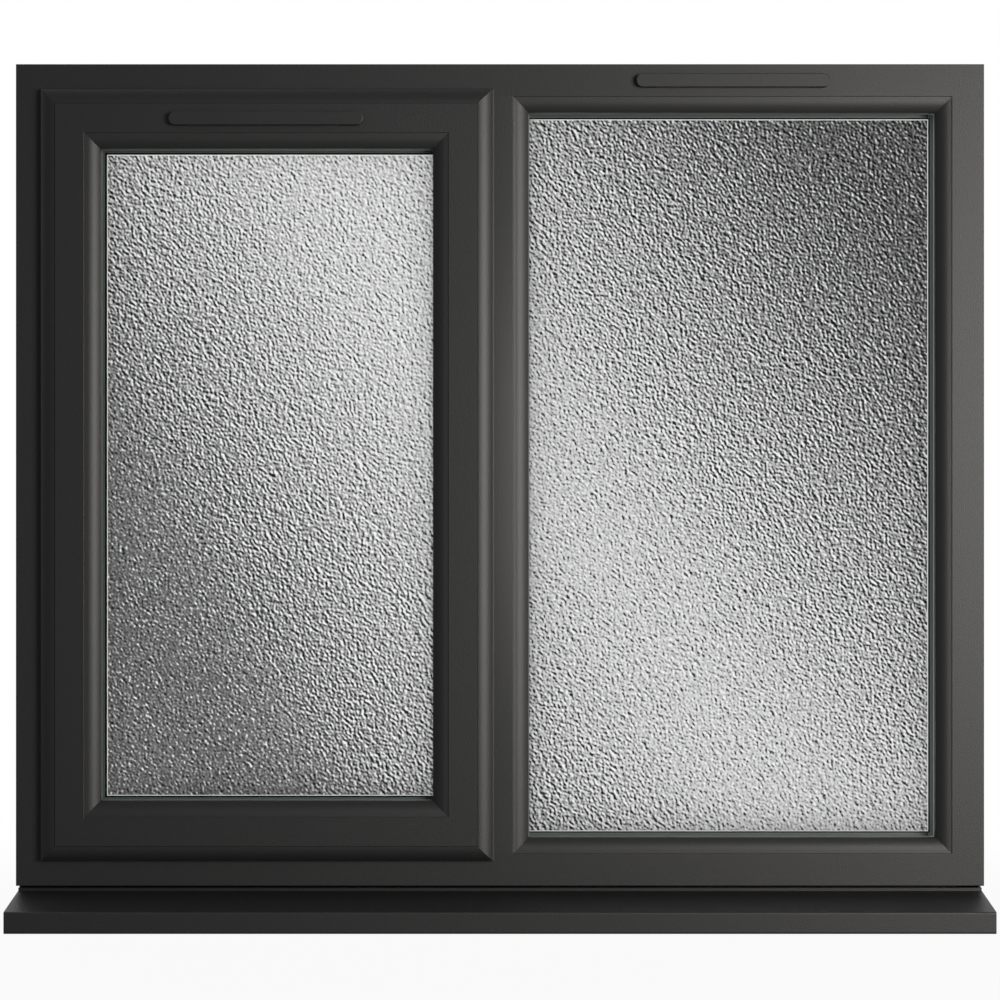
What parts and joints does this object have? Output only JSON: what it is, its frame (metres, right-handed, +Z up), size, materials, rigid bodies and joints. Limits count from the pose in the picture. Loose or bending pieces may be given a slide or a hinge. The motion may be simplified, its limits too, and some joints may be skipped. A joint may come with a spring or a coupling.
{
  "type": "side-hung casement window with fixed light",
  "caption": "Dark grey plastic casement window with a side-hung sash, a fixed light, patterned double glazing, slim vent covers and a projecting sill.",
  "frame": {"origin": "middle of the sill's bearing face under the frame's outside face: X = 0 at mid-width, Y = 0 in the plane of the frame's outside face, Z = 0 on the bearing face", "axes": "+X to the right seen from outside, +Y from outside into the room, +Z up"},
  "size_m": [1.19, 0.163, 1.056],
  "materials": {
    "frame_plastic": "satin with a fine grain",
    "bead_plastic": "satin with a fine grain",
    "sill_plastic": "satin with a fine grain",
    "vent_plastic": "satin",
    "clear_glass": "clear",
    "patterned_glass": "stippled, obscure",
    "spacer_bar": "dark matt",
    "gasket_rubber": "matt black",
    "handle_metal": "satin"
  },
  "bodies": {
    "root": {"fixed_bead_bottom": "bead_plastic", "fixed_bead_left": "bead_plastic", "fixed_bead_right": "bead_plastic", "fixed_bead_top": "bead_plastic", "fixed_inner_gasket": "gasket_rubber", "fixed_inner_pane": "patterned_glass", "fixed_outer_gasket": "gasket_rubber", "fixed_outer_pane": "clear_glass", "fixed_spacer": "spacer_bar", "fixed_vent_control": "vent_plastic", "fixed_vent_hood": "vent_plastic", "frame_bottom_rail": "frame_plastic", "frame_head": "frame_plastic", "frame_left_jamb": "frame_plastic", "frame_right_jamb": "frame_plastic", "frame_weather_seal": "gasket_rubber", "handle_base": "handle_metal", "handle_lever": "handle_metal", "mullion": "frame_plastic", "sash_bead_bottom": "bead_plastic", "sash_bead_left": "bead_plastic", "sash_bead_right": "bead_plastic", "sash_bead_top": "bead_plastic", "sash_bottom_rail": "frame_plastic", "sash_hinge_stile": "frame_plastic", "sash_inner_gasket": "gasket_rubber", "sash_inner_pane": "patterned_glass", "sash_lock_stile": "frame_plastic", "sash_outer_gasket": "gasket_rubber", "sash_outer_pane": "clear_glass", "sash_spacer": "spacer_bar", "sash_top_rail": "frame_plastic", "sash_vent_control": "vent_plastic", "sash_vent_hood": "vent_plastic", "sash_weather_seal": "gasket_rubber", "sill": "sill_plastic", "sill_end_cap_left": "sill_plastic", "sill_end_cap_right": "sill_plastic"}
  },
  "joints": []
}
